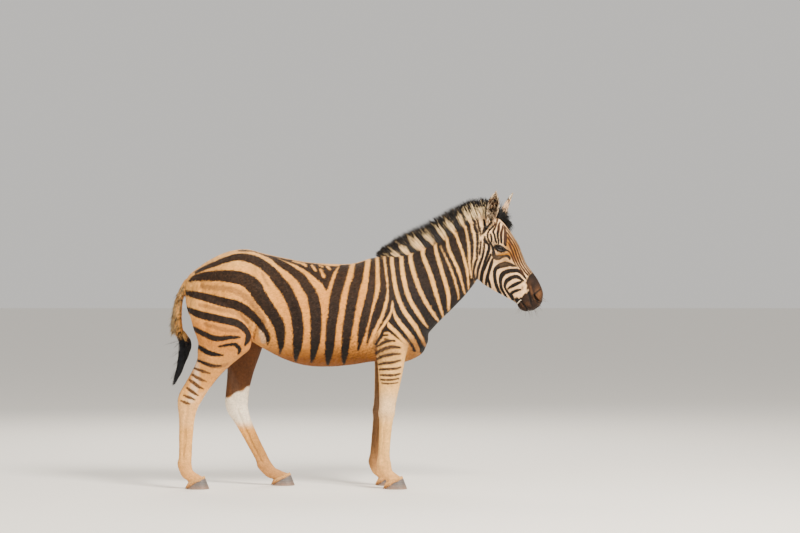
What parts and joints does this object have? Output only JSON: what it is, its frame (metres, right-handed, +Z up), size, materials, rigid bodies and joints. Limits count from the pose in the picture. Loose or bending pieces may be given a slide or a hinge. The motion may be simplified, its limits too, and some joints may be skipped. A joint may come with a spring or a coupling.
{
  "type": "zebra",
  "caption": "Life-size still model of a standing plains zebra, body divided into trunk, neck, head, legs, hooves, ears, eyes and tail",
  "frame": {"origin": "On the ground under the middle of the overall length and width", "axes": "+X forward to the nose, +Y to the animal's left, +Z up"},
  "size_m": [2.0403, 0.4492, 1.6088],
  "materials": {
    "coat": "short flat hair, dark brown stripes on cream and tan",
    "hoof": "dull grey horn",
    "eye": "wet, near-black brown"
  },
  "bodies": {
    "root": {"torso": "coat", "neck": "coat", "head": "coat", "ear_left": "coat", "ear_right": "coat", "eye_left": "eye", "eye_right": "eye", "foreleg_left": "coat", "foreleg_right": "coat", "forehoof_left": "hoof", "forehoof_right": "hoof", "hindleg_left": "coat", "hindleg_right": "coat", "hindhoof_left": "hoof", "hindhoof_right": "hoof", "tail": "coat"}
  },
  "joints": []
}
